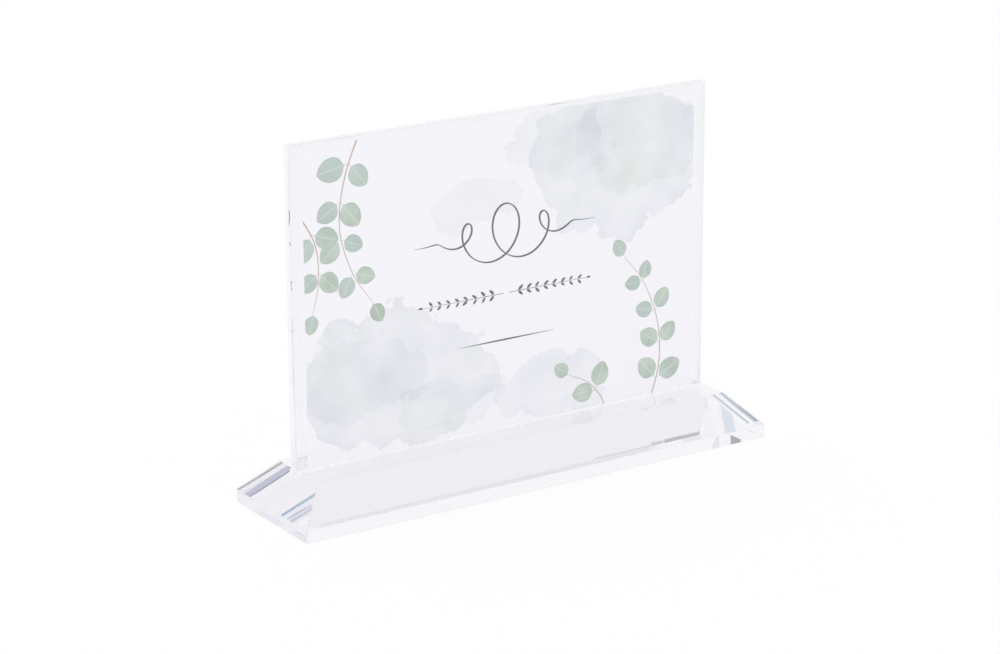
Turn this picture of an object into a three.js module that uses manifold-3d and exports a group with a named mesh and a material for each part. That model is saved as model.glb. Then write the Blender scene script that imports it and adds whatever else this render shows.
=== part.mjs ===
// Clear acrylic sign holder, in millimetres, +Z up.
// Two clear sheets, kept apart by three thin strips, make a flat pocket that is open along its top.
// A printed card drops into the pocket, and the pocket plugs into a groove in a thick bevelled block.
// The origin is at the middle of the block's underside. +X runs along the block and -Y is the front.

import * as THREE from 'three';
import { ConvexGeometry } from 'three/addons/geometries/ConvexGeometry.js';
import { mergeVertices } from 'three/addons/utils/BufferGeometryUtils.js';
import Module from 'manifold-3d';

// The card, an A5 sheet lying on its long side
const cardWidth = 210;
const cardHeight = 148;
const cardThickness = 0.4;

// The pocket that holds it
const sheetThickness = 2;
const sheetEdgeBreak = 0.25;
const edgeStripWidth = 5;
const cardStopHeight = 0.8;
const cardFaceClearance = 0.3;
const cardEndClearance = 1.1;
const cardSeatGap = 0.3;
const cardTopMargin = 2.2;

// The block that it stands in, which runs past the pocket at each end
const baseOverhang = 13.9;
const baseDepth = 63;
const rimHeight = 6.4;
const bevelRun = 14.3;
const bevelRise = 14.9;
const baseEdgeBreak = 0.4;

// The groove in the block, a little behind its middle
const panelSetBack = 3.5;
const grooveDepth = 4.8;
const grooveFaceClearance = 0.3;
const grooveEndClearance = 0.8;
const grooveCornerRadius = 1;
const grooveCornerSteps = 6;
const panelSeatGap = 0.3;

// Sizes that follow from the ones above
const baseHeight = rimHeight + bevelRise;
const pocketGap = cardThickness + 2 * cardFaceClearance;
const pocketWidth = cardWidth + 2 * cardEndClearance;
const panelWidth = pocketWidth + 2 * edgeStripWidth;
const baseLength = panelWidth + 2 * baseOverhang;
const panelThickness = pocketGap + 2 * sheetThickness;
const panelBottom = baseHeight - grooveDepth + panelSeatGap;
const stripBottom = panelBottom + sheetEdgeBreak;
const cardBottom = stripBottom + cardStopHeight + cardSeatGap;
const cardTop = cardBottom + cardHeight;
const panelTop = cardTop + cardTopMargin;

// Colours and surfaces
const acrylicLook = { color: 0xf1f1f8, roughness: 0.04, metalness: 0, transparent: true, opacity: 0.35 };
const cardLook = { color: 0xeceaf3, roughness: 0.75, metalness: 0 };

const wasm = await Module();
wasm.setup();

function toSolid(geometry) {
  const bare = geometry.clone();
  bare.deleteAttribute('normal');
  bare.deleteAttribute('uv');
  const merged = mergeVertices(bare, 1e-5);
  const vertProperties = Float32Array.from(merged.attributes.position.array);
  const triVerts = Uint32Array.from(merged.index.array);
  return new wasm.Manifold(new wasm.Mesh({ numProp: 3, vertProperties, triVerts }));
}

function toGeometry(solid) {
  const mesh = solid.getMesh();
  const geometry = new THREE.BufferGeometry();
  geometry.setAttribute('position', new THREE.BufferAttribute(Float32Array.from(mesh.vertProperties), 3));
  geometry.setIndex(new THREE.BufferAttribute(Uint32Array.from(mesh.triVerts), 1));
  const faceted = geometry.toNonIndexed();
  faceted.computeVertexNormals();
  return faceted;
}

function namedMesh(name, geometry, look) {
  const mesh = new THREE.Mesh(geometry, new THREE.MeshStandardMaterial(look));
  mesh.name = name;
  return mesh;
}

// A rectangle with its corners cut, at one height
function cutRectangle(halfX, halfY, cornerCut, z) {
  const points = [];
  for (const sx of [-1, 1]) {
    for (const sy of [-1, 1]) {
      points.push(new THREE.Vector3(sx * halfX, sy * (halfY - cornerCut), z));
      points.push(new THREE.Vector3(sx * (halfX - cornerCut), sy * halfY, z));
    }
  }
  return points;
}

// A flat plate standing on edge, its twelve edges broken at 45 degrees
function plate(width, thickness, height, edgeBreak) {
  const halfX = width / 2;
  const halfY = thickness / 2;
  const inset = edgeBreak;
  const points = [
    ...cutRectangle(halfX - inset, halfY - inset, 0, 0),
    ...cutRectangle(halfX, halfY, inset, inset),
    ...cutRectangle(halfX, halfY, inset, height - inset),
    ...cutRectangle(halfX - inset, halfY - inset, 0, height),
  ];
  return new ConvexGeometry(points);
}

// A rectangle with round corners, for the milled groove
function roundedRectangle(length, width, radius) {
  const x = length / 2 - radius;
  const y = width / 2 - radius;
  const shape = new THREE.Shape();
  shape.moveTo(x, -y - radius);
  shape.absarc(x, -y, radius, -Math.PI / 2, 0, false);
  shape.absarc(x, y, radius, 0, Math.PI / 2, false);
  shape.absarc(-x, y, radius, Math.PI / 2, Math.PI, false);
  shape.absarc(-x, -y, radius, Math.PI, 1.5 * Math.PI, false);
  return shape;
}

// The block: an upright rim, wide bevels up to a flat top, and the groove
function makeBaseBlock() {
  const halfX = baseLength / 2;
  const halfY = baseDepth / 2;
  const edge = baseEdgeBreak;
  const outer = new ConvexGeometry([
    ...cutRectangle(halfX - edge, halfY - edge, edge, 0),
    ...cutRectangle(halfX, halfY, edge, edge),
    ...cutRectangle(halfX, halfY, edge, rimHeight),
    ...cutRectangle(halfX - bevelRun, halfY - bevelRun, edge, baseHeight),
  ]);
  const grooveShape = roundedRectangle(
    panelWidth + 2 * grooveEndClearance,
    panelThickness + 2 * grooveFaceClearance,
    grooveCornerRadius,
  );
  const groove = new THREE.ExtrudeGeometry(grooveShape, {
    depth: 2 * grooveDepth,
    bevelEnabled: false,
    curveSegments: grooveCornerSteps,
  });
  groove.translate(0, panelSetBack, baseHeight - grooveDepth);
  return namedMesh('base_block', toGeometry(toSolid(outer).subtract(toSolid(groove))), acrylicLook);
}

// One of the two clear sheets: side is -1 for the front and 1 for the rear
function makeSheet(name, side) {
  const geometry = plate(panelWidth, sheetThickness, panelTop - panelBottom, sheetEdgeBreak);
  const sheet = namedMesh(name, geometry, acrylicLook);
  sheet.position.set(0, side * (pocketGap + sheetThickness) / 2, panelBottom);
  return sheet;
}

// A strip that keeps the sheets apart at one end: side is -1 for the left and 1 for the right.
// It ends level with the card's top.
function makeEdgeStrip(name, side) {
  const height = cardTop - stripBottom;
  const strip = namedMesh(name, new THREE.BoxGeometry(edgeStripWidth, pocketGap, height), acrylicLook);
  strip.position.set(side * (pocketWidth + edgeStripWidth) / 2, 0, stripBottom + height / 2);
  return strip;
}

// The thin strip along the bottom of the pocket, which the card stands on
function makeCardStop() {
  const geometry = new THREE.BoxGeometry(pocketWidth, pocketGap, cardStopHeight);
  const strip = namedMesh('card_stop_strip', geometry, acrylicLook);
  strip.position.set(0, 0, stripBottom + cardStopHeight / 2);
  return strip;
}

// The card is loose in the pocket and lies against its right-hand end
function makeCard() {
  const card = namedMesh('printed_card', new THREE.BoxGeometry(cardWidth, cardThickness, cardHeight), cardLook);
  card.position.set(cardEndClearance - cardSeatGap, 0, cardBottom + cardHeight / 2);
  return card;
}

// All that stands in the groove
const upright = new THREE.Group();
upright.position.y = panelSetBack;
upright.add(makeSheet('front_sheet', -1));
upright.add(makeSheet('rear_sheet', 1));
upright.add(makeEdgeStrip('left_edge_strip', -1));
upright.add(makeEdgeStrip('right_edge_strip', 1));
upright.add(makeCardStop());
upright.add(makeCard());

const signHolder = new THREE.Group();
signHolder.add(makeBaseBlock());
signHolder.add(upright);

export default signHolder;
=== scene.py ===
# %% [markdown]
# # A clear acrylic sign holder
# Two clear sheets hold a printed card between them, and they plug into a thick block with wide polished
# bevels. The construction model gives every piece at its real size, and this script gives it its finish.
# Clear acrylic has no colour of its own to speak of, so almost all that the eye gets is what the block bends
# and mirrors. That makes three things matter here: true thickness, fine edges, and a room worth reflecting.

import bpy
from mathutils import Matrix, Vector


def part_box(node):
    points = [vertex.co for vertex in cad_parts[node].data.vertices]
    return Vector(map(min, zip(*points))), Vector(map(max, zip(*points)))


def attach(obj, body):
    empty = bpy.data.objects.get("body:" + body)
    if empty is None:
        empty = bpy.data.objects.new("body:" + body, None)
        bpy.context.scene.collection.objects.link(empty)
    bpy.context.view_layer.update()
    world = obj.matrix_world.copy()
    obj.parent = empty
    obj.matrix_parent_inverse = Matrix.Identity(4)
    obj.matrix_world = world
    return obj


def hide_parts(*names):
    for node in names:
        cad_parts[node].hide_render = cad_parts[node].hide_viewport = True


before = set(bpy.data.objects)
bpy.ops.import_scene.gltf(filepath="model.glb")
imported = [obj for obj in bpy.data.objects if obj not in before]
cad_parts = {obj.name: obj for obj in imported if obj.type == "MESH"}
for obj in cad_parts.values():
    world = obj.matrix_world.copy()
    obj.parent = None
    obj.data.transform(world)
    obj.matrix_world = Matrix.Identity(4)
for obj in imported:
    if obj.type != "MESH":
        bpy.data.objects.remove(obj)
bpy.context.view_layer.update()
print("pieces:", sorted(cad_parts))

# %% Other modules and one unit
import math

import bmesh
import bpy
from mathutils import Vector

MM = 0.001
scene = bpy.context.scene
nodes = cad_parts
block_low, block_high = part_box("base_block")
card_low, card_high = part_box("printed_card")

# %% [markdown]
# Colours are easy to note down as sRGB hex values, the numbers that a colour picker shows, but a shader
# works in linear light. One function turns one into the other. A second one adds a node, sets its options
# and fills its inputs, either with a value or with another node's output. A third one starts a node group
# with named inputs, which is how a shape that is needed more than once is built, and a fourth one tells
# kinds of ray apart. The kinds of node that come up again and again get short names.

# %% Helpers for colours and nodes
MATH = "ShaderNodeMath"
VECTOR = "ShaderNodeVectorMath"
RANGE = "ShaderNodeMapRange"
MIX = "ShaderNodeMix"
NOISE = "ShaderNodeTexNoise"
WHITE = "#ffffff"


def linear(hex_colour):
    """The linear RGBA of an sRGB hex colour such as #f2f1f7."""
    parts = [int(hex_colour[i : i + 2], 16) / 255 for i in (1, 3, 5)]
    light = [p / 12.92 if p <= 0.04045 else ((p + 0.055) / 1.055) ** 2.4 for p in parts]
    return (*light, 1.0)


def add_node(tree, kind, inputs=(), **options):
    """Adds a node, sets its options, and fills its inputs with values or with other nodes' outputs.
    A node that is given as an input stands for its first output."""
    made = tree.nodes.new(kind)
    for name, value in options.items():
        setattr(made, name, value)
    for name, value in dict(inputs).items():
        if isinstance(value, bpy.types.Node):
            value = value.outputs[0]
        if isinstance(value, bpy.types.NodeSocket):
            tree.links.new(value, made.inputs[name])
        else:
            made.inputs[name].default_value = value
    return made


def new_material(name):
    """An empty node material and its tree."""
    material = bpy.data.materials.new(name)
    material.use_nodes = True
    material.node_tree.nodes.clear()
    return material, material.node_tree


def new_group(name, kind, inputs, outputs):
    """A node group with named inputs and outputs, and the sockets that give its inputs."""
    group = bpy.data.node_groups.new(name, kind)
    for in_out, sockets in (("INPUT", inputs), ("OUTPUT", outputs)):
        for label, what in sockets.items():
            group.interface.new_socket(label, in_out=in_out, socket_type="NodeSocket" + what)
    return group, add_node(group, "NodeGroupInput").outputs


def ray_is(tree, one, other):
    """1 for a ray of one kind or the other, and 0 for any other ray."""
    kinds = add_node(tree, "ShaderNodeLightPath").outputs
    return add_node(tree, MATH, {0: kinds[one], 1: kinds[other]}, operation="MAXIMUM")


def input_names(group):
    """The names of a group's inputs."""
    return [item.name for item in group.interface.items_tree if item.in_out == "INPUT"]


print("card white in linear light:", [round(c, 3) for c in linear("#f4f3fa")[:3]])

# %% [markdown]
# ## The camera
# The view was matched to the straight edges in the photograph: a long lens, a little above the block and
# well to its left. A long lens keeps the block's edges almost parallel, which is why they look so calm.

# %% Camera
CAMERA_PLACE = (-0.7478, -1.1295, 0.4934)
CAMERA_TURN = (72.586, 0.179, -33.414)
LENS = 112.5
SENSOR_WIDTH = 36
camera_data = bpy.data.cameras.new("camera")
camera_data.lens = LENS
camera_data.sensor_width = SENSOR_WIDTH
camera = bpy.data.objects.new("camera", camera_data)
camera.location = CAMERA_PLACE
camera.rotation_euler = [math.radians(angle) for angle in CAMERA_TURN]
scene.collection.objects.link(camera)
scene.camera = camera
print("camera distance in m:", round((Vector(CAMERA_PLACE) - (block_low + block_high) / 2).length, 3))

# %% [markdown]
# ## The studio
# Clear plastic in a white room is nearly invisible. A product photographer hangs strips of tinted card just
# outside the picture, and each bevel mirrors or bends a strip into one crisp line. The room here works the
# same way: it is plain white for every ray that comes straight to it, and only rays that were mirrored or
# bent on their way see the strips.
#
# Light turns many times inside a thick block before it leaves it, so Cycles gets a long leash: 64 turns.

# %% How far light may travel
MOST_TURNS = 64
scene.view_settings.view_transform = "Standard"
for limit in ("max_bounces", "glossy_bounces", "transmission_bounces", "transparent_max_bounces"):
    setattr(scene.cycles, limit, MOST_TURNS)
scene.cycles.diffuse_bounces = 3
print("turns inside the block:", scene.cycles.transmission_bounces)

# %% [markdown]
# A strip hangs between two places in the room, each given as its azimuth, from +Y towards +X, and its
# height. These and the strip's width are in degrees, since the room is so far away that only directions
# count.
#
# A room has no surface to paint on, only directions, so the strip is found with dot products. One gives how
# far the ray points along the strip and one how far across it, and a smooth step softens the strip's edge.

# %% Strips of tinted card
STRIPS = [
    ("lilac card behind", (0.00, 14.00), (95.00, 14.00), 30.000, "#f7f6f9"),
    ("lilac card in front", (130.00, 14.00), (205.00, 14.00), 30.000, "#f3f1f6"),
    ("lilac card at the side", (205.00, 14.00), (284.00, 14.00), 30.000, "#f3f1f6"),
    ("white gap", (103.20, 13.386), (104.75, 15.080), 0.040, "#ffffff"),
    ("broad lilac", (103.15, 13.437), (104.72, 15.165), 0.106, "#b9bfd0"),
    ("dark edge of the lilac", (103.25, 13.606), (104.60, 15.100), 0.017, "#70727c"),
    ("thin dark", (103.29, 13.426), (105.01, 15.306), 0.034, "#9a9a9e"),
    ("cyan edge", (76.50, 14.616), (77.40, 13.626), 0.040, "#ecfbff"),
    ("deep blue", (76.17, 14.921), (76.80, 14.228), 0.050, "#98a8cc"),
    ("teal end", (76.74, 14.294), (77.40, 13.568), 0.050, "#98b7ca"),
    ("grey pair", (76.35, 14.92), (77.20, 13.99), 0.050, "#c0c6d2"),
    ("lilac grey", (102.75, 13.90), (103.80, 14.98), 0.045, "#c9c6d2"),
    ("pale cyan", (102.70, 13.73), (103.85, 15.02), 0.040, "#f0fcff"),
    ("slate line", (75.20, 15.16), (76.80, 13.48), 0.045, "#b4b5c1"),
    ("teal upper", (-37.50, 18.518), (-38.38, 19.137), 0.081, "#c2cdd6"),
    ("dark edge of the teal", (-37.98, 18.830), (-38.33, 19.090), 0.028, "#9aa7ae"),
    ("teal lower", (-37.40, 18.57), (-38.18, 19.138), 0.035, "#bccad1"),
    ("dark corner", (-25.00, 34.38), (-26.20, 34.38), 1.200, "#a7b1b7"),
    ("pale blue", (-62.60, 33.25), (-65.00, 33.25), 1.200, "#dee8ee"),
    ("grey foot", (36.54, 19.526), (37.30, 19.347), 0.156, "#c0bec5"),
    ("grey foot, paler", (36.28, 19.590), (36.54, 19.529), 0.150, "#d4d2d8"),
    ("grey foot, faint", (35.20, 19.86), (36.28, 19.609), 0.110, "#dbdadf"),
]


def toward(place):
    """The unit vector towards an azimuth and a height in degrees."""
    azimuth, height = (math.radians(angle) for angle in place)
    level = math.cos(height)
    return Vector((level * math.sin(azimuth), level * math.cos(azimuth), math.sin(height)))


print("first strip:", STRIPS[0][0], "towards", [round(part, 2) for part in toward(STRIPS[0][1])])

# %% The shape of a strip


def make_strip_group():
    """A node group: how much of a strip a ray meets, from its direction."""
    directions = dict.fromkeys(("Direction", "Middle", "Along", "Across"), "Vector")
    sizes = dict.fromkeys(("Half Length", "Half Width", "Softness"), "Float")
    group, given = new_group("strip of card", "ShaderNodeTree", directions | sizes, {"Cover": "Float"})
    facing = add_node(group, VECTOR, {0: given["Direction"], 1: given["Middle"]}, operation="DOT_PRODUCT")
    cover = add_node(group, MATH, {0: facing.outputs["Value"], 1: 0.0}, operation="GREATER_THAN")
    for axis, half in (("Along", "Half Length"), ("Across", "Half Width")):
        off = add_node(group, VECTOR, {0: given["Direction"], 1: given[axis]}, operation="DOT_PRODUCT")
        far = add_node(group, MATH, {0: off.outputs["Value"]}, operation="ABSOLUTE")
        inner = add_node(group, MATH, {0: given[half], 1: given["Softness"]}, operation="SUBTRACT")
        inside = add_node(
            group,
            RANGE,
            {"Value": far, 1: inner, 2: given[half], 3: 1.0, 4: 0.0},
            interpolation_type="SMOOTHSTEP",
        )
        cover = add_node(group, MATH, {0: cover, 1: inside}, operation="MULTIPLY")
    add_node(group, "NodeGroupOutput", {"Cover": cover})
    return group


strip_shape = make_strip_group()
print("strip inputs:", input_names(strip_shape))

# %% The room
STRIP_SOFTNESS = 0.15


def make_room():
    """A white room all round, with strips of tinted card that only the polished faces pick up."""
    world = bpy.data.worlds.new("studio room")
    scene.world = world
    world.use_nodes = True
    tree = world.node_tree
    tree.nodes.clear()
    direction = add_node(tree, "ShaderNodeTexCoord").outputs["Generated"]
    colour = linear(WHITE)
    for name, start, end, degrees, tint in STRIPS:
        one, other = toward(start), toward(end)
        middle = (one + other).normalized()
        along = (other - one).normalized()
        width = math.radians(degrees)
        strip = add_node(
            tree,
            "ShaderNodeGroup",
            {
                "Direction": direction,
                "Middle": middle,
                "Along": along,
                "Across": along.cross(middle),
                "Half Length": (other - one).length / 2,
                "Half Width": width / 2,
                "Softness": width * STRIP_SOFTNESS,
            },
            node_tree=strip_shape,
            label=name,
        )
        painted = add_node(tree, MIX, {0: strip, 6: colour, 7: linear(tint)}, data_type="RGBA")
        colour = painted.outputs[2]
    bent = ray_is(tree, "Is Glossy Ray", "Is Transmission Ray")
    plain = add_node(tree, "ShaderNodeBackground", {"Color": linear(WHITE), "Strength": 1.0})
    striped = add_node(tree, "ShaderNodeBackground", {"Color": colour, "Strength": 1.0})
    glow = add_node(tree, "ShaderNodeMixShader", {0: bent, 1: plain, 2: striped})
    add_node(tree, "ShaderNodeOutputWorld", {"Surface": glow})
    world.cycles.sampling_method = "NONE"


make_room()
print("strips hung:", len(STRIPS))

# %% [markdown]
# The table is white too. It is part glow and part matt white: the glow keeps it as bright as the room behind
# it, and the matt part takes the shadow that really falls on it. The acrylic lets the rays that carry light
# straight through, so the block casts almost no shadow of its own, and its shade is painted into the table's
# white in two places. Light from behind has to pass the panel and its card, so a broad patch under them is
# painted a touch greyer, and hardly any light creeps under the block's rear edge, so a narrow line there is
# painted darker still. The first shows through the block's flat top, and the second lies as a fine line
# along the foot of the front bevel. Near each end, light that comes in through the end's bevel washes that
# line out, so the painted line stops there, and a short piece of it is painted again at the very corner.

# %% The table top
TABLE_HALF = 3.0
TABLE_GLOW = 0.6
TABLE_GLOW_BENT = 0.75
TABLE_DROP = 0.2 * MM
FIRM_ALONG_Y = 0.6
FIRM_ALONG_X = 0.9
# Each painted shade: its middle and half its width along Y, the same along X, all in mm, and its colour.
# X is counted outwards from the middle of the block, so what is given for one end holds for both.
PAINTED_SHADES = [
    (6.0, 12.0, 0.0, 118.0, "#f5f5f5"),
    (30.6, 1.9, 0.0, 98.0, "#efeef1"),
    (30.6, 1.9, 116.5, 6.0, "#efeef1"),
]


def white_with_painted_shades(tree):
    """White, darkened by each painted shade where it lies on the table."""
    place = add_node(tree, "ShaderNodeTexCoord").outputs["Object"]
    parts = add_node(tree, "ShaderNodeSeparateXYZ", {0: place})
    end = add_node(tree, MATH, {0: parts.outputs["X"]}, operation="ABSOLUTE")
    colour = linear(WHITE)
    for middle_y, half_y, middle_x, half_x, tint in PAINTED_SHADES:
        covers = []
        for spot, middle, half, firm in (
            (parts.outputs["Y"], middle_y, half_y, FIRM_ALONG_Y),
            (end, middle_x, half_x, FIRM_ALONG_X),
        ):
            off = add_node(tree, MATH, {0: spot, 1: middle * MM}, operation="SUBTRACT")
            far = add_node(tree, MATH, {0: off}, operation="ABSOLUTE")
            inside = add_node(
                tree,
                RANGE,
                {"Value": far, 1: half * firm * MM, 2: half * MM, 3: 1.0, 4: 0.0},
                interpolation_type="SMOOTHSTEP",
            )
            covers.append(inside)
        cover = add_node(tree, MATH, {0: covers[0], 1: covers[1]}, operation="MULTIPLY")
        darker = add_node(tree, MIX, {0: cover, 6: colour, 7: linear(tint)}, data_type="RGBA")
        colour = darker.outputs[2]
    return colour


def make_floor():
    """A white table top just under the block."""
    corners = [(-1, -1), (1, -1), (1, 1), (-1, 1)]
    mesh = bpy.data.meshes.new("floor")
    mesh.from_pydata([(x * TABLE_HALF, y * TABLE_HALF, -TABLE_DROP) for x, y in corners], [], [(0, 1, 2, 3)])
    floor = bpy.data.objects.new("floor", mesh)
    scene.collection.objects.link(floor)
    material, tree = new_material("white table top with painted shade")
    colour = white_with_painted_shades(tree)
    surface = add_node(tree, "ShaderNodeBsdfDiffuse", {"Color": colour})
    glow = add_node(tree, "ShaderNodeEmission", {"Color": colour, "Strength": 1.0})
    path = add_node(tree, "ShaderNodeLightPath")
    mirrored = ray_is(tree, "Is Glossy Ray", "Is Transmission Ray")
    bent = add_node(tree, MATH, {0: mirrored, 1: TABLE_GLOW_BENT}, operation="MULTIPLY")
    seen = add_node(
        tree,
        MATH,
        {0: path.outputs["Is Camera Ray"], 1: TABLE_GLOW, 2: bent},
        operation="MULTIPLY_ADD",
        use_clamp=True,
    )
    mix = add_node(tree, "ShaderNodeMixShader", {0: seen, 1: surface, 2: glow})
    add_node(tree, "ShaderNodeOutputMaterial", {"Surface": mix})
    mesh.materials.append(material)


make_floor()
print("table top:", 2 * TABLE_HALF, "m wide, shades:", len(PAINTED_SHADES))

# %% [markdown]
# ## Clear acrylic
# The block and the sheets are cast acrylic: a clear plastic with an index of refraction of 1.49, polished
# until nothing can be felt. In the Principled shader that is full transmission and almost no roughness. Cast
# acrylic isn't perfect, though. Polishing leaves a haze that comes and goes over a few centimetres, so a
# broad noise moves the roughness between nothing and a very small value. A thick block also swallows a trace
# of light on the way, which Volume Absorption does: here it is given as the colour left after 60 mm.
#
# Two kinds of ray skip all that and go straight on, by way of a plain white Transparent shader:
# - Rays that carry light to the card and the table. Cycles finds light through bevelled plastic only by
#   chance, and this keeps the card evenly lit.
# - Rays that are trapped between a sheet's faces. The real ones come out in the end, nearly as bright as
#   before. Cycles would count them as black and leave dark specks along the edges, so they are let out.
#
# The spacers are extruded strip of a clearer grade, and they are so thin that their tint hardly counts.

# %% A point's own place in millimetres


def places_in_mm(tree):
    """Each point's own place on the object, in millimetres."""
    place = add_node(tree, "ShaderNodeTexCoord").outputs["Object"]
    return add_node(tree, VECTOR, {0: place, "Scale": 1 / MM}, operation="SCALE")


# %% Clear acrylic
ACRYLIC_IOR = 1.49
SLOW_HAZE = (0.03, 0.03, 0.03)
SOAK_DEPTH = 60 * MM
TRAPPED_AFTER = 32.0


def make_clear_acrylic(name, tint, haze, grain=SLOW_HAZE, soak=None):
    """Polished acrylic. Haze is the highest roughness, and grain is the pattern's size along each axis
    per mm. Soak is the colour left of white light after SOAK_DEPTH inside."""
    material, tree = new_material(name)
    stretched = add_node(tree, VECTOR, {0: places_in_mm(tree), 1: grain}, operation="MULTIPLY")
    cloud = add_node(tree, NOISE, {"Vector": stretched, "Scale": 1.0, "Detail": 2.0})
    rough = add_node(tree, RANGE, {"Value": cloud, 1: 0.4, 2: 0.7, 3: 0.0, 4: haze})
    body = add_node(
        tree,
        "ShaderNodeBsdfPrincipled",
        {
            "Base Color": linear(tint),
            "Roughness": rough,
            "IOR": ACRYLIC_IOR,
            "Transmission Weight": 1.0,
        },
    )
    clear = add_node(tree, "ShaderNodeBsdfTransparent", {"Color": linear(WHITE)})
    path = add_node(tree, "ShaderNodeLightPath")
    lighting = ray_is(tree, "Is Shadow Ray", "Is Diffuse Ray")
    trapped = add_node(
        tree,
        MATH,
        {0: path.outputs["Ray Depth"], 1: TRAPPED_AFTER},
        operation="GREATER_THAN",
    )
    straight = add_node(tree, MATH, {0: lighting, 1: trapped}, operation="MAXIMUM")
    mix = add_node(tree, "ShaderNodeMixShader", {0: straight, 1: body, 2: clear})
    output = add_node(tree, "ShaderNodeOutputMaterial", {"Surface": mix})
    if soak:
        loss = [-math.log(part) for part in linear(soak)[:3]]
        most = max(loss)
        absorb = add_node(
            tree,
            "ShaderNodeVolumeAbsorption",
            {"Color": (*[1 - part / most for part in loss], 1), "Density": most / SOAK_DEPTH},
        )
        tree.links.new(absorb.outputs[0], output.inputs["Volume"])
    return material


block_acrylic = make_clear_acrylic("polished cast acrylic, block", "#f8f7f9", haze=0.006, soak="#fdfdfe")
sheet_acrylic = make_clear_acrylic("polished cast acrylic, sheet", "#f9f9fb", haze=0.010)
strip_acrylic = make_clear_acrylic("extruded acrylic strip", "#feffff", haze=0.010)
print("acrylics made:", block_acrylic.name, "and", sheet_acrylic.name)

# %% [markdown]
# The sheets are sawn from a larger plate and their edges are polished afterwards. That takes the saw marks
# almost away: what is left are faint streaks across the sheet's thickness, a fraction of a millimetre apart.
# A noise that is stretched along Y draws them, and it works on the roughness only.
#
# The block's long edges are eased by hand with a scraper and a cloth. Such an edge is a little duller than a
# polished face and it has no direction, so its grain is the same all ways. On a narrow edge the duller grain
# and a grey tint, which is painted shade, read as a thin grey line, and that line is what makes a clear
# block's outline visible at all.

# %% Sawn and polished edges
SAW_MARKS = (1.6, 0.15, 1.6)
SCRAPE_MARKS = (1.6, 1.6, 1.6)
edge_acrylic = make_clear_acrylic("sawn and polished acrylic edge", "#f0f0f3", haze=0.05, grain=SAW_MARKS)
# The eased edge's grey tint is painted shade that draws the block's outline; its higher haze is the edge's
# real dullness.
arris_acrylic_with_painted_shade = make_clear_acrylic("hand eased acrylic edge, grey painted shade", "#c8c8ce", haze=0.08, grain=SCRAPE_MARKS)
print("saw marks about", round(1 / SAW_MARKS[0], 2), "mm apart")

# %% [markdown]
# ## Fine edges
# The construction model's edges are perfectly sharp, and nothing real is. Each piece is copied, its loose
# triangles are merged into whole faces again, and a narrow Bevel rounds the edges by about a tenth of a
# millimetre. The spacers are bonded to the sheets with solvent, which leaves a film. The copies of the
# spacers are two hundredths of a millimetre thinner on each side, so that their faces never share a plane
# with the sheets.

# %% Copy a piece with eased edges
SAME_PLACE = 0.001 * MM


def eased_copy(name, node, body, ease, materials, is_main=lambda normal: True, film=0.0):
    """A copy of a construction piece with fine round edges, moved by the same body.
    The faces that are main get the first material. The others and the eased edges get the last one."""
    mesh = bpy.data.meshes.new(name)
    work = bmesh.new()
    work.from_mesh(nodes[node].data)
    bmesh.ops.remove_doubles(work, verts=work.verts, dist=SAME_PLACE)
    bmesh.ops.dissolve_limit(work, angle_limit=math.radians(0.5), verts=work.verts, edges=work.edges)
    bmesh.ops.recalc_face_normals(work, faces=work.faces)
    last = len(materials) - 1
    for face in work.faces:
        face.material_index = 0 if is_main(face.normal) else last
    low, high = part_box(node)
    middle = (low.y + high.y) / 2
    for vertex in work.verts:
        vertex.co.y -= math.copysign(film, vertex.co.y - middle)
    work.to_mesh(mesh)
    work.free()
    for material in materials:
        mesh.materials.append(material)
    piece = bpy.data.objects.new(name, mesh)
    scene.collection.objects.link(piece)
    round_off = piece.modifiers.new("eased edges", "BEVEL")
    round_off.width = ease
    round_off.segments = 2
    round_off.limit_method = "ANGLE"
    round_off.angle_limit = math.radians(20)
    round_off.harden_normals = True
    round_off.material = last
    keep_shape(piece)
    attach(piece, body)
    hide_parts(node)
    print(name, len(piece.data.polygons), "faces")
    return piece


def keep_shape(piece):
    """Turns what the modifiers make into the piece's own mesh."""
    evaluated = piece.evaluated_get(bpy.context.evaluated_depsgraph_get())
    piece.data = bpy.data.meshes.new_from_object(evaluated)
    piece.data.name = piece.name
    piece.modifiers.clear()


# %% The block, the sheets and the spacers
BLOCK_EASE = 0.15 * MM
SHEET_EASE = 0.08 * MM
SPACER_EASE = 0.05 * MM
FILM = 0.02 * MM


def is_broad(normal):
    """True for a sheet's two broad faces."""
    return abs(normal.y) > 0.9


eased_copy("bevelled_block", "base_block", "base", BLOCK_EASE, [block_acrylic, arris_acrylic_with_painted_shade])
for name, node in (("front_pane", "front_sheet"), ("rear_pane", "rear_sheet")):
    eased_copy(name, node, "panel", SHEET_EASE, [sheet_acrylic, edge_acrylic], is_broad)
for name, node in (
    ("left_spacer", "left_edge_strip"),
    ("right_spacer", "right_edge_strip"),
    ("bottom_spacer", "card_stop_strip"),
):
    eased_copy(name, node, "panel", SPACER_EASE, [strip_acrylic], film=FILM)

# %% [markdown]
# ## The card's stock
# The card is matt, very slightly violet, and cut with a guillotine. Matt stock has a fine tooth, which shows
# up as grain of about a quarter of a millimetre. It works twice: a little in the tone and a little in the
# height. Everything that is printed lies on the same tooth, so one function makes every surface of the card,
# and it is given only the colour.

# %% Matt card
TOOTH_PER_MM = 4.0
TOOTH_HEIGHT = 0.01 * MM
MATT_ROUGHNESS = 0.75


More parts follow.
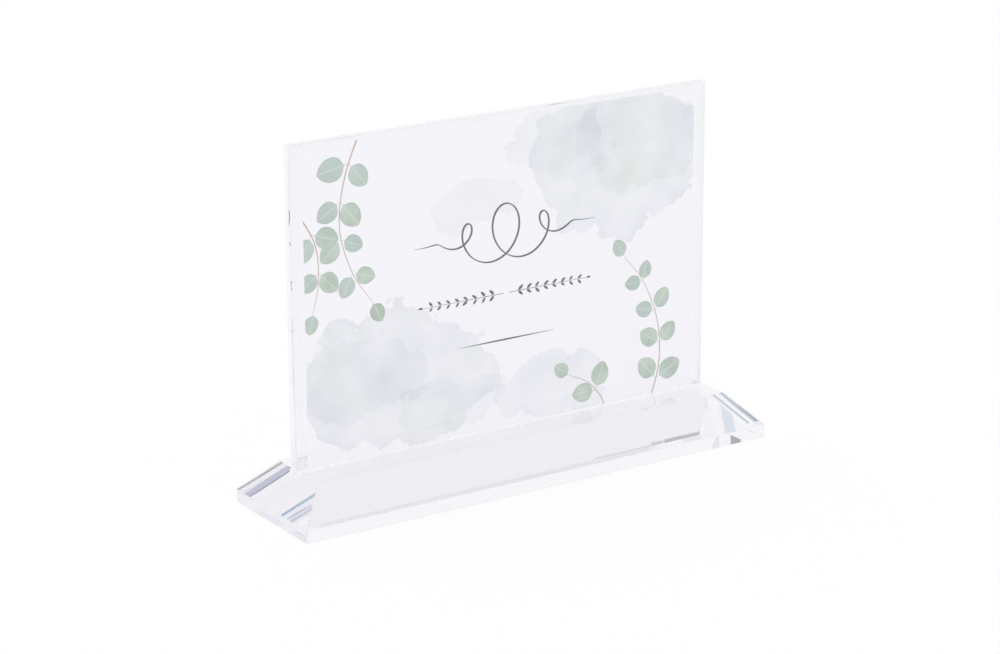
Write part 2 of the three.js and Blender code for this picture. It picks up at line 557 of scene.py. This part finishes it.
def make_card_surface(name, colour_of):
    """A matt printed surface. Colour_of adds the nodes for its colour and returns their last output."""
    material, tree = new_material(name)
    place = places_in_mm(tree)
    grain = add_node(tree, NOISE, {"Vector": place, "Scale": TOOTH_PER_MM, "Detail": 3.0})
    tone = add_node(tree, RANGE, {"Value": grain, 1: 0.3, 2: 0.7, 3: 0.985, 4: 1.0})
    colour = add_node(tree, VECTOR, {0: colour_of(tree, place), "Scale": tone}, operation="SCALE")
    tooth = add_node(tree, "ShaderNodeBump", {"Strength": 0.3, "Distance": TOOTH_HEIGHT, "Height": grain})
    surface = add_node(
        tree,
        "ShaderNodeBsdfPrincipled",
        {"Base Color": colour, "Roughness": MATT_ROUGHNESS, "Normal": tooth},
    )
    add_node(tree, "ShaderNodeOutputMaterial", {"Surface": surface})
    return material


def uneven(per_mm, detail, one, other):
    """A colour that drifts between two, in patches of so many per mm, as pulp and paint do."""

    def colour_of(tree, place):
        patches = add_node(tree, NOISE, {"Vector": place, "Scale": per_mm, "Detail": detail})
        tints = {0: patches, 6: linear(one), 7: linear(other)}
        return add_node(tree, MIX, tints, data_type="RGBA").outputs[2]

    return colour_of


bare_stock = uneven(0.06, 3.0, "#fefdff", "#fbfaff")
card_stock = make_card_surface("matt card stock", bare_stock)
print("tooth:", 1 / TOOTH_PER_MM, "mm apart")

# %% [markdown]
# ## Watercolour washes
# The print on the card begins with pale washes. Wet paint spreads over paper in an uneven blot, it dries
# from the rim inwards, and the pigment collects there, so each blot ends in a crisp and slightly darker
# line.
#
# A wash is built from an ellipse. Its middle and reach are in millimetres. Before a point's distance from
# the middle is measured, the point is pushed aside by three noises, from broad to fine, and that gives the
# blot its wandering outline. The result is a cover from 0 to 1 and the dark rim.

# %% The shape of a wash
# Each noise: how many swings it makes per mm, and its share of the wandering
WANDERINGS = ((1 / 34, 1.0), (1 / 9, 0.34), (1 / 2.2, 0.10))


def make_wash_group():
    """A node group: how much of a wash covers a place, and where its dark rim is."""
    group, given = new_group(
        "watercolour wash",
        "ShaderNodeTree",
        {"Place": "Vector", "Middle": "Vector", "Reach": "Vector", "Wander": "Float", "Variant": "Float"},
        {"Cover": "Float", "Rim": "Float"},
    )
    moved = given["Place"]
    for per_mm, share in WANDERINGS:
        noise = add_node(
            group,
            NOISE,
            {"Vector": given["Place"], "W": given["Variant"], "Scale": per_mm, "Detail": 2.0},
            noise_dimensions="4D",
        )
        centred = add_node(
            group,
            VECTOR,
            {0: noise.outputs["Color"], 1: (0.5, 0.5, 0.5)},
            operation="SUBTRACT",
        )
        width = add_node(group, MATH, {0: given["Wander"], 1: share}, operation="MULTIPLY")
        push = add_node(group, VECTOR, {0: centred, "Scale": width}, operation="SCALE")
        moved = add_node(group, VECTOR, {0: moved, 1: push}, operation="ADD")
    away = add_node(group, VECTOR, {0: moved, 1: given["Middle"]}, operation="SUBTRACT")
    flat = add_node(group, VECTOR, {0: away, 1: (1.0, 0.0, 1.0)}, operation="MULTIPLY")
    scaled = add_node(group, VECTOR, {0: flat, 1: given["Reach"]}, operation="DIVIDE")
    distance = add_node(group, VECTOR, {0: scaled}, operation="LENGTH")
    cover = add_node(
        group,
        RANGE,
        {"Value": distance.outputs["Value"], 1: 0.99, 2: 1.01, 3: 1.0, 4: 0.0},
        interpolation_type="SMOOTHSTEP",
    )
    near_rim = add_node(
        group,
        RANGE,
        {"Value": distance.outputs["Value"], 1: 0.93, 2: 1.0, 3: 0.0, 4: 1.0},
        interpolation_type="SMOOTHSTEP",
    )
    rim = add_node(group, MATH, {0: near_rim, 1: cover}, operation="MULTIPLY")
    add_node(group, "NodeGroupOutput", {"Cover": cover, "Rim": rim})
    return group


wash_shape = make_wash_group()
print("wash inputs:", input_names(wash_shape))

# %% [markdown]
# Paint is laid on in layers, and each layer darkens what lies under it. So every wash multiplies the colour
# below it by its own tint, as real paint does. Pigment also pools unevenly inside a wash: a slow noise lets
# the tint drift between sage green and grey-blue.

# %% Washes on the card's front
RIM_STRENGTH = 0.3
# Each wash: middle x and z, reach in x and z, how far the outline wanders, its greener and its bluer tint
WASHES = [
    (64, 140, 50, 34, 50, "#f1f5f2", "#f1f3f6"),
    (80, 146, 38, 20, 44, "#f6f9f6", "#f7f9fb"),
    (30, 152, 26, 15, 40, "#f8faf8", "#f8f9fb"),
    (-56, 54, 48, 34, 50, "#f1f4f3", "#f2f3f7"),
    (-74, 58, 34, 20, 44, "#f7f9f8", "#f7f8fb"),
    (-30, 38, 26, 15, 40, "#f8faf9", "#f8f9fc"),
    (24, 34, 32, 16, 44, "#f4f7f6", "#f3f4f8"),
    (-14, 130, 22, 12, 32, "#f7f9f8", "#f8f9fb"),
]


def washed_stock(tree, place):
    """Bare card under every wash, each one darkening what it covers."""
    colour = bare_stock(tree, place)
    pool = add_node(tree, NOISE, {"Vector": place, "Scale": 1 / 40, "Detail": 3.0})
    drift = add_node(tree, RANGE, {"Value": pool, 1: 0.38, 2: 0.62})
    water = add_node(tree, NOISE, {"Vector": place, "Scale": 1 / 18, "Detail": 4.0})
    cloudy = add_node(tree, RANGE, {"Value": water, 1: 0.3, 2: 0.7, 3: 0.5, 4: 1.25})
    for number, (x, z, reach_x, reach_z, wander, green, blue) in enumerate(WASHES):
        wash = add_node(
            tree,
            "ShaderNodeGroup",
            {
                "Place": place,
                "Middle": (x, 0.0, z),
                "Reach": (reach_x, 1.0, reach_z),
                "Wander": wander,
                "Variant": 3.7 * number,
            },
            node_tree=wash_shape,
        )
        tints = {0: drift, 6: linear(green), 7: linear(blue)}
        tint = add_node(tree, MIX, tints, data_type="RGBA").outputs[2]
        full = add_node(
            tree,
            MATH,
            {0: wash.outputs["Rim"], 1: RIM_STRENGTH, 2: wash.outputs["Cover"]},
            operation="MULTIPLY_ADD",
        )
        depth = add_node(tree, MATH, {0: full, 1: cloudy}, operation="MULTIPLY")
        layer = add_node(
            tree,
            MIX,
            {0: depth, 6: colour, 7: tint},
            data_type="RGBA",
            blend_type="MULTIPLY",
            clamp_factor=False,
        )
        colour = layer.outputs[2]
    return colour


washed_card = make_card_surface("matt card, watercolour washes", washed_stock)


def is_front(normal):
    """True for the card's printed front, and not for its back and its cut edges."""
    return normal.y < -0.9


card_faces = [washed_card, card_stock]
eased_copy("trimmed_card", "printed_card", "card", SPACER_EASE, card_faces, is_front)
print("washes:", len(WASHES))

# %% [markdown]
# ## Lines of ink
# Stems and pen lines are all strokes: a line that something soft is drawn along. Geometry Nodes does it in
# four steps. It turns a row of points into a smooth curve, spaces it evenly, sweeps a small circle along it,
# and presses the result flat until it is only as thick as a layer of ink.
#
# A broad pen held at a fixed angle gives thin and thick parts, since the width depends on the direction of
# travel. The dot product of the direction and the pen's own direction gives exactly that.

# %% The stroke
PEN_ANGLE = math.radians(60)
PEN_DIRECTION = (math.cos(PEN_ANGLE), 0.0, math.sin(PEN_ANGLE))
RING_POINTS = 10
STROKE_INPUTS = {
    "Geometry": "Geometry",
    **dict.fromkeys(("Width", "Thin Part", "Start Width", "End Width", "Taper", "Thickness"), "Float"),
    "Steps": "Int",
    "Ink": "Material",
}


def smooth_line(tree, lines, count):
    """A smooth curve through the points of a line, spaced evenly by a count of steps."""
    line = add_node(tree, "GeometryNodeMeshToCurve", {"Mesh": lines})
    smooth = add_node(tree, "GeometryNodeCurveSplineType", {"Curve": line}, spline_type="CATMULL_ROM")
    return add_node(tree, "GeometryNodeResampleCurve", {"Curve": smooth, "Count": count})


def inked_output(tree, shape, ink):
    """Makes a tree's shape real, gives it its ink and sends it out."""
    real = add_node(tree, "GeometryNodeRealizeInstances", {"Geometry": shape})
    inked = add_node(tree, "GeometryNodeSetMaterial", {"Geometry": real, "Material": ink})
    add_node(tree, "NodeGroupOutput", {"Geometry": inked})


def make_stroke_tree():
    """A flat stroke of ink along each line of the host mesh."""
    tree, given = new_group("stroke of ink", "GeometryNodeTree", STROKE_INPUTS, {"Geometry": "Geometry"})
    even = smooth_line(tree, given["Geometry"], given["Steps"])
    along = add_node(tree, "GeometryNodeSplineParameter").outputs["Factor"]
    back = add_node(tree, MATH, {0: 1.0, 1: along}, operation="SUBTRACT")
    rise = add_node(
        tree,
        RANGE,
        {"Value": along, 1: 0.0, 2: given["Taper"], 3: given["Start Width"], 4: 1.0},
    )
    fall = add_node(tree, RANGE, {"Value": back, 1: 0.0, 2: given["Taper"], 3: given["End Width"], 4: 1.0})
    tapered = add_node(tree, MATH, {0: rise, 1: fall}, operation="MULTIPLY")
    travel = add_node(tree, "GeometryNodeInputTangent")
    crossing = add_node(tree, VECTOR, {0: travel, 1: PEN_DIRECTION}, operation="DOT_PRODUCT")
    broad = add_node(tree, MATH, {0: crossing.outputs["Value"]}, operation="ABSOLUTE")
    nib = add_node(tree, RANGE, {"Value": broad, 1: 0.0, 2: 1.0, 3: given["Thin Part"], 4: 1.0})
    width = add_node(tree, MATH, {0: tapered, 1: nib}, operation="MULTIPLY")
    radius = add_node(tree, MATH, {0: given["Width"], 1: 0.5}, operation="MULTIPLY")
    ring = add_node(tree, "GeometryNodeCurvePrimitiveCircle", {"Resolution": RING_POINTS, "Radius": radius})
    swept = add_node(
        tree,
        "GeometryNodeCurveToMesh",
        {"Curve": even, "Profile Curve": ring, "Scale": width, "Fill Caps": True},
    )
    press = add_node(tree, MATH, {0: given["Thickness"], 1: given["Width"]}, operation="DIVIDE")
    factors = add_node(tree, "ShaderNodeCombineXYZ", {"X": 1.0, "Y": press, "Z": 1.0})
    place = add_node(tree, "GeometryNodeInputPosition")
    pressed = add_node(tree, VECTOR, {0: place, 1: factors}, operation="MULTIPLY")
    flat = add_node(tree, "GeometryNodeSetPosition", {"Geometry": swept, "Position": pressed})
    inked_output(tree, flat, given["Ink"])
    return tree


stroke_tree = make_stroke_tree()
print("stroke inputs:", input_names(stroke_tree))

# %% [markdown]
# ## A round leaf
# The leaves are round and come in pairs, like those of a eucalyptus. Every leaf starts as a grid of 1 by 2
# units. Its points move along the leaf by X and across it by Y, and a Float Curve says how wide the leaf is
# at each place: a narrow stalk, a quick swell, and a blunt tip. That curve is the leaf's outline, and it is
# the one thing to change for another kind of leaf.
#
# The grid's own two directions are stored as the attributes "along" and "side". The ink reads them later, so
# the colour knows where the midrib and the rim are on every leaf, however it is turned. The number of grid
# points is an input too, because a leaf a few millimetres long needs far fewer of them.

# %% The leaf
LEAF_OUTLINE = (
    (0.00, 0.035),
    (0.13, 0.035),
    (0.19, 0.34),
    (0.32, 0.84),
    (0.48, 1.00),
    (0.66, 0.95),
    (0.84, 0.66),
    (0.94, 0.34),
    (1.00, 0.00),
)
LEAF_INPUTS = {
    "Length": "Float",
    "Width": "Float",
    "Thickness": "Float",
    "Points Along": "Int",
    "Points Across": "Int",
}


def make_leaf_tree():
    """One leaf that lies in the XZ plane with its stalk at the origin and its tip along +X."""
    tree, given = new_group("round leaf", "GeometryNodeTree", LEAF_INPUTS, {"Geometry": "Geometry"})
    grid = add_node(
        tree,
        "GeometryNodeMeshGrid",
        {
            "Size X": 1.0,
            "Size Y": 2.0,
            "Vertices X": given["Points Along"],
            "Vertices Y": given["Points Across"],
        },
    )
    place = add_node(tree, "GeometryNodeInputPosition")
    parts = add_node(tree, "ShaderNodeSeparateXYZ", {0: place})
    along = add_node(tree, MATH, {0: parts.outputs["X"], 1: 0.5}, operation="ADD")
    marked = grid
    for name, value in (("along", along), ("side", parts.outputs["Y"])):
        marked = add_node(
            tree,
            "GeometryNodeStoreNamedAttribute",
            {"Geometry": marked, "Name": name, "Value": value},
            data_type="FLOAT",
            domain="POINT",
        )
    outline = add_node(tree, "ShaderNodeFloatCurve", {"Value": along})
    drawn = outline.mapping.curves[0]
    drawn.points[0].location = LEAF_OUTLINE[0]
    drawn.points[1].location = LEAF_OUTLINE[-1]
    for spot in LEAF_OUTLINE[1:-1]:
        drawn.points.new(*spot)
    outline.mapping.update()
    half = add_node(tree, MATH, {0: given["Width"], 1: 0.5}, operation="MULTIPLY")
    reach = add_node(tree, MATH, {0: half, 1: outline}, operation="MULTIPLY")
    x = add_node(tree, MATH, {0: along, 1: given["Length"]}, operation="MULTIPLY")
    z = add_node(tree, MATH, {0: parts.outputs["Y"], 1: reach}, operation="MULTIPLY")
    target = add_node(tree, "ShaderNodeCombineXYZ", {"X": x, "Z": z})
    shaped = add_node(tree, "GeometryNodeSetPosition", {"Geometry": marked, "Position": target})
    forward = add_node(tree, MATH, {0: given["Thickness"], 1: -1.0}, operation="MULTIPLY")
    lift = add_node(tree, "ShaderNodeCombineXYZ", {"Y": forward})
    raised = add_node(
        tree,
        "GeometryNodeExtrudeMesh",
        {"Mesh": shaped, "Offset": lift, "Offset Scale": 1.0, "Individual": False},
    )
    back = add_node(tree, "GeometryNodeFlipFaces", {"Mesh": shaped})
    both = add_node(tree, "GeometryNodeJoinGeometry")
    tree.links.new(back.outputs[0], both.inputs[0])
    tree.links.new(raised.outputs[0], both.inputs[0])
    closed = add_node(tree, "GeometryNodeMergeByDistance", {"Geometry": both, "Distance": SAME_PLACE})
    add_node(tree, "NodeGroupOutput", {"Geometry": closed})
    return tree


leaf_tree = make_leaf_tree()
print("outline points:", len(LEAF_OUTLINE))

# %% [markdown]
# ## Leaves along a stem
# The same lines that give the stems give the places of the leaves. The curve is spaced by the gap between
# two pairs, and a leaf is set on each point. On a curve, the Tangent says which way the stem runs. In the XZ
# plane that direction becomes an angle about Y with an arctangent, and the leaf leans away from it by the
# spread, once to each side. A little chance in the angle and the size keeps them from looking stamped. The
# seed is fixed, so the chance always falls the same way.
#
# No two leaves may lie at the same height where they overlap, so each stands a thousandth of a millimetre or
# so higher than the one before it.

# %% The leaves
STEM_STEPS = 60
# Pairs of leaves stand on the stem from 0.06 to 0.98 of its length
LEAFY_MIDDLE = 0.52
LEAFY_HALF = 0.46
SWAY = 0.16
SMALLEST = 0.86
LARGEST = 1.06
LEAF_STEP = 0.0012 * MM
LAYER_STEP = LEAF_STEP * 0.3


def make_leaves_tree():
    """Pairs of leaves along each line of the host mesh, and one leaf at each line's end."""
    places = {"Gap": "Float", "Spread": "Float", "Tip Size": "Float", "Seed": "Int", "Ink": "Material"}
    inputs = {"Geometry": "Geometry"} | LEAF_INPUTS | places
    tree, given = new_group("leaves along a stem", "GeometryNodeTree", inputs, {"Geometry": "Geometry"})
    even = smooth_line(tree, given["Geometry"], STEM_STEPS)
    spots = add_node(
        tree,
        "GeometryNodeResampleCurve",
        {"Curve": even, "Length": given["Gap"]},
        mode="LENGTH",
    )
    leaf = add_node(
        tree,
        "GeometryNodeGroup",
        {name: given[name] for name in LEAF_INPUTS},
        node_tree=leaf_tree,
    )
    travel = add_node(tree, "GeometryNodeInputTangent")
    run = add_node(tree, "ShaderNodeSeparateXYZ", {0: travel})
    down = add_node(tree, MATH, {0: run.outputs["Z"], 1: -1.0}, operation="MULTIPLY")
    stem_angle = add_node(tree, MATH, {0: down, 1: run.outputs["X"]}, operation="ARCTAN2")
    along = add_node(tree, "GeometryNodeSplineParameter").outputs["Factor"]
    number = add_node(tree, "GeometryNodeInputIndex")
    tip_only = {"Start Size": 0, "End Size": 1}
    is_end = add_node(tree, "GeometryNodeCurveEndpointSelection", tip_only)
    on_stem = add_node(tree, MATH, {0: along, 1: LEAFY_MIDDLE, 2: LEAFY_HALF}, operation="COMPARE")
    gathered = add_node(tree, "GeometryNodeJoinGeometry")
    for layer, (side, wanted) in enumerate(((-1, on_stem), (1, on_stem), (0, is_end))):
        seed = add_node(tree, MATH, {0: given["Seed"], 1: 10.0 * layer}, operation="ADD")
        lean = add_node(tree, MATH, {0: given["Spread"], 1: float(side)}, operation="MULTIPLY")
        sway = add_node(
            tree,
            "FunctionNodeRandomValue",
            {2: -SWAY, 3: SWAY, "Seed": seed},
            data_type="FLOAT",
        )
        turned = add_node(tree, MATH, {0: stem_angle, 1: lean}, operation="ADD")
        angle = add_node(tree, MATH, {0: turned, 1: sway.outputs[1]}, operation="ADD")
        turn = add_node(tree, "ShaderNodeCombineXYZ", {"Y": angle})
        shrink = add_node(tree, RANGE, {"Value": along, 1: 0.0, 2: 1.0, 3: 1.0, 4: given["Tip Size"]})
        chance = add_node(
            tree,
            "FunctionNodeRandomValue",
            {2: SMALLEST, 3: LARGEST, "Seed": seed},
            data_type="FLOAT",
        )
        size = add_node(tree, MATH, {0: shrink, 1: chance.outputs[1]}, operation="MULTIPLY")
        height = add_node(
            tree,
            MATH,
            {0: number, 1: -LEAF_STEP, 2: -LAYER_STEP * layer},
            operation="MULTIPLY_ADD",
        )
        lift = add_node(tree, "ShaderNodeCombineXYZ", {"Y": height})
        lifted = add_node(tree, "GeometryNodeSetPosition", {"Geometry": spots, "Offset": lift})
        placed = add_node(
            tree,
            "GeometryNodeInstanceOnPoints",
            {
                "Points": lifted,
                "Selection": wanted,
                "Instance": leaf,
                "Rotation": turn,
                "Scale": size,
            },
        )
        tone = add_node(tree, "FunctionNodeRandomValue", {2: 0.0, 3: 1.0, "Seed": seed}, data_type="FLOAT")
        toned = add_node(
            tree,
            "GeometryNodeStoreNamedAttribute",
            {"Geometry": placed, "Name": "tone", "Value": tone.outputs[1]},
            data_type="FLOAT",
            domain="INSTANCE",
        )
        tree.links.new(toned.outputs[0], gathered.inputs[0])
    inked_output(tree, gathered, given["Ink"])
    return tree


leaves_tree = make_leaves_tree()
print("leaf inputs:", input_names(leaves_tree))

# %% [markdown]
# ## Inks
# A painted leaf is never one green. A noise of about 9 mm lets it drift from a grey sage to a paler one, the
# "tone" of each leaf tips it towards blue, the rim is a little darker where the paint dried, and a pale line
# is left open for the midrib. The pen's ink is a warm dark grey that is a bit thinner in places.

# %% Inks for leaves, stems and pen


def leaf_green(tree, place):
    """Sage green paint with a darker rim and a pale midrib."""
    pool = add_node(tree, NOISE, {"Vector": place, "Scale": 1 / 9, "Detail": 3.0})
    tone, side, along = [
        add_node(tree, "ShaderNodeAttribute", attribute_name=name).outputs["Fac"]
        for name in ("tone", "side", "along")
    ]
    off = add_node(tree, MATH, {0: side}, operation="ABSOLUTE")
    green = linear("#adbfad")
    # Each layer: its tint, what it follows, from where to where, and its share at both
    for tint, guide, start, end, before, after in (
        ("#cbd8ca", pool, 0.36, 0.64, 0.0, 1.0),
        ("#bccdcb", tone, 0.0, 1.0, 0.0, 0.75),
        ("#9fb3a4", off, 0.8, 1.0, 0.0, 0.45),
        ("#bac5a8", along, 0.6, 1.0, 0.0, 0.4),
        ("#e2e9e0", off, 0.03, 0.10, 0.55, 0.0),
    ):
        share = add_node(tree, RANGE, {"Value": guide, 1: start, 2: end, 3: before, 4: after})
        layer = add_node(tree, MIX, {0: share, 6: green, 7: linear(tint)}, data_type="RGBA")
        green = layer.outputs[2]
    return green


leaf_ink = make_card_surface("sage watercolour on card", leaf_green)
stem_ink = make_card_surface("brown watercolour on card", uneven(1 / 6, 2.0, "#bfa18f", "#d2bfae"))
pen_ink = make_card_surface("dark grey ink on card", uneven(1 / 3, 2.0, "#545b5e", "#6b7174"))
print("inks:", leaf_ink.name, "|", stem_ink.name, "|", pen_ink.name)

# %% [markdown]
# ## Laying the print on the card
# A host mesh holds only the lines to draw, as rows of points joined by edges. The modifier's inputs are set
# by the identifiers of their sockets, before anything is evaluated. The result becomes a plain mesh, it is
# moved to the card's front, and whatever passes the card's edge is cut off with four planes, as a trimmed
# print is.

# %% From lines to print
TRIM = 0.06 * MM
SINK = 0.005 * MM
INK_THICKNESS = 0.016 * MM


def line_host(name, lines):
    """A mesh of joined points from rows of (x, z) in mm."""
    points = []
    edges = []
    for line in lines:
        start = len(points)
        points += [(x * MM, 0.0, z * MM) for x, z in line]
        edges += [(number, number + 1) for number in range(start, len(points) - 1)]
    mesh = bpy.data.meshes.new(name)
    mesh.from_pydata(points, edges, [])
    return mesh


def trim_to_card(mesh):
    """Cuts a print off at the card's four edges and closes the cuts."""
    work = bmesh.new()
    work.from_mesh(mesh)
    for axis, limit, away in (
        (0, card_low.x + TRIM, -1),
        (0, card_high.x - TRIM, 1),
        (2, card_low.z + TRIM, -1),
        (2, card_high.z - TRIM, 1),
    ):
        point = Vector((0, 0, 0))
        normal = Vector((0, 0, 0))
        point[axis] = limit
        normal[axis] = away
        everything = work.verts[:] + work.edges[:] + work.faces[:]
        bmesh.ops.bisect_plane(
            work,
            geom=everything,
            dist=0.0001 * MM,
            plane_co=point,
            plane_no=normal,
            clear_outer=True,
        )
        open_edges = [edge for edge in work.edges if edge.is_boundary]
        bmesh.ops.holes_fill(work, edges=open_edges, sides=0)
    bmesh.ops.recalc_face_normals(work, faces=work.faces)
    work.to_mesh(mesh)
    work.free()


def print_on_card(name, lines, tree, settings):
    """Runs a tree on some lines and lays the result on the card's front."""
    piece = bpy.data.objects.new(name, line_host(name, lines))
    scene.collection.objects.link(piece)
    drawing = piece.modifiers.new("drawing", "NODES")
    drawing.node_group = tree
    for item in tree.interface.items_tree:
        if item.in_out == "INPUT" and item.name in settings:
            drawing[item.identifier] = settings[item.name]
    keep_shape(piece)
    for vertex in piece.data.vertices:
        vertex.co.y += card_low.y + SINK
    trim_to_card(piece.data)
    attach(piece, "card")
    front = min(vertex.co.y for vertex in piece.data.vertices)
    print(name, len(piece.data.polygons), "faces, front at y", round(front / MM, 4), "mm")


def lay_stroke(name, lines, ink, width, thickness, steps, thin=1.0, ends=(1.0, 1.0), taper=1.0):
    """Lays a stroke of ink on the card. Width and thickness are in mm. The thin part and both ends are
    shares of the width, and the taper is a share of the length."""
    settings = {
        "Width": width * MM,
        "Thin Part": thin,
        "Start Width": ends[0],
        "End Width": ends[1],
        "Taper": taper,
        "Thickness": thickness * MM,
        "Steps": steps,
        "Ink": ink,
    }
    print_on_card(name, lines, stroke_tree, settings)


def lay_leaves(name, lines, ink, length, width, gap, spread, tip, points, seed):
    """Lays leaves on the card. Length, width and gap are in mm, and the spread is in degrees."""
    settings = {
        "Length": length * MM,
        "Width": width * MM,
        "Thickness": INK_THICKNESS,
        "Gap": gap * MM,
        "Spread": math.radians(spread),
        "Tip Size": tip,
        "Points Along": points[0],
        "Points Across": points[1],
        "Seed": seed,
        "Ink": ink,
    }
    print_on_card(name, lines, leaves_tree, settings)


# %% [markdown]
# ## The sprigs
# Two sprigs hang into the top left corner and two grow out of the bottom right one. Each line starts where
# its stem comes in over the card's edge. The first leaves are about 17 mm long, and they get smaller
# towards the tip.

# %% Sprigs in two corners
SPRIGS = [
    [(-74, 172), (-83, 150), (-86, 128), (-80, 107), (-70, 92)],
    [(-110, 142), (-99, 124), (-97, 106), (-100, 92)],
    [(80, 12), (87, 34), (86, 56), (78, 76), (67, 90)],
    [(58, 12), (54, 24), (46, 33), (36, 38)],
]

lay_leaves(
    "sprig_leaves",
    SPRIGS,
    leaf_ink,
    length=17,
    width=11.5,
    gap=15,
    spread=52,
    tip=0.62,
    points=(33, 9),
    seed=4,
)
lay_stroke("sprig_stems", SPRIGS, stem_ink, width=0.8, thickness=0.07, steps=60, ends=(1.0, 0.35))

# %% [markdown]
# ## The pen flourish
# In the middle stands one long line of pen loops. It is a cosine wave that is pushed back along itself, like
# the path of a point on a rolling wheel, and that makes the loops. They swell towards the middle and run out
# into straight tails, because both movements are multiplied by the same bell-shaped factor.

# %% Loops with a broad pen
FLOURISH_MIDDLE = (0.8, 112.0)
FLOURISH_HALF = 49
LOOPS = 5
LOOP_PUSH = 12
LOOP_HEIGHT = 14


def pen_loops(steps=240):
    """A row of loops that swell towards the middle, the same on both sides."""
    points = []
    for step in range(steps + 1):
        run = 2 * step / steps - 1
        swell = math.cos(math.pi * run / 2) ** 3
        turn = math.pi * LOOPS * run
        x = FLOURISH_HALF * run - swell * LOOP_PUSH * math.sin(turn)
        z = swell * LOOP_HEIGHT * math.cos(turn)
        points.append((FLOURISH_MIDDLE[0] + x, FLOURISH_MIDDLE[1] + z))
    return points


lay_stroke(
    "pen_flourish",
    [pen_loops()],
    pen_ink,
    width=1.15,
    thickness=0.05,
    steps=420,
    thin=0.5,
    ends=(0.3, 0.3),
    taper=0.08,
)

# %% [markdown]
# ## The rules below it
# Under the flourish runs a branch of tiny leaves that grows from the middle to both sides. It is the same
# tree as the sprigs, with smaller numbers and the pen's ink. Below that is a plain rule that swells in its
# middle, and the stroke tree draws it with a taper over half its length.

# %% A branch rule and a swelling rule
BRANCH_Z = 84.0
RULE_Z = 62.0
BRANCH = [[(FLOURISH_MIDDLE[0] + side * x, BRANCH_Z) for x in (1.5, 15.0, 29.0, 44.0)] for side in (-1, 1)]
RULE = [[(FLOURISH_MIDDLE[0] + x, RULE_Z) for x in (-26.0, -9.0, 9.0, 26.0)]]

lay_leaves(
    "branch_leaves",
    BRANCH,
    pen_ink,
    length=4.2,
    width=1.5,
    gap=4.7,
    spread=42,
    tip=0.7,
    points=(13, 3),
    seed=7,
)
lay_stroke("branch_line", BRANCH, pen_ink, width=0.32, thickness=0.05, steps=40, ends=(1.0, 0.6))
EVEN_ENDS = (0.25, 0.25)
lay_stroke("swelling_rule", RULE, pen_ink, width=0.9, thickness=0.05, steps=60, ends=EVEN_ENDS, taper=0.5)
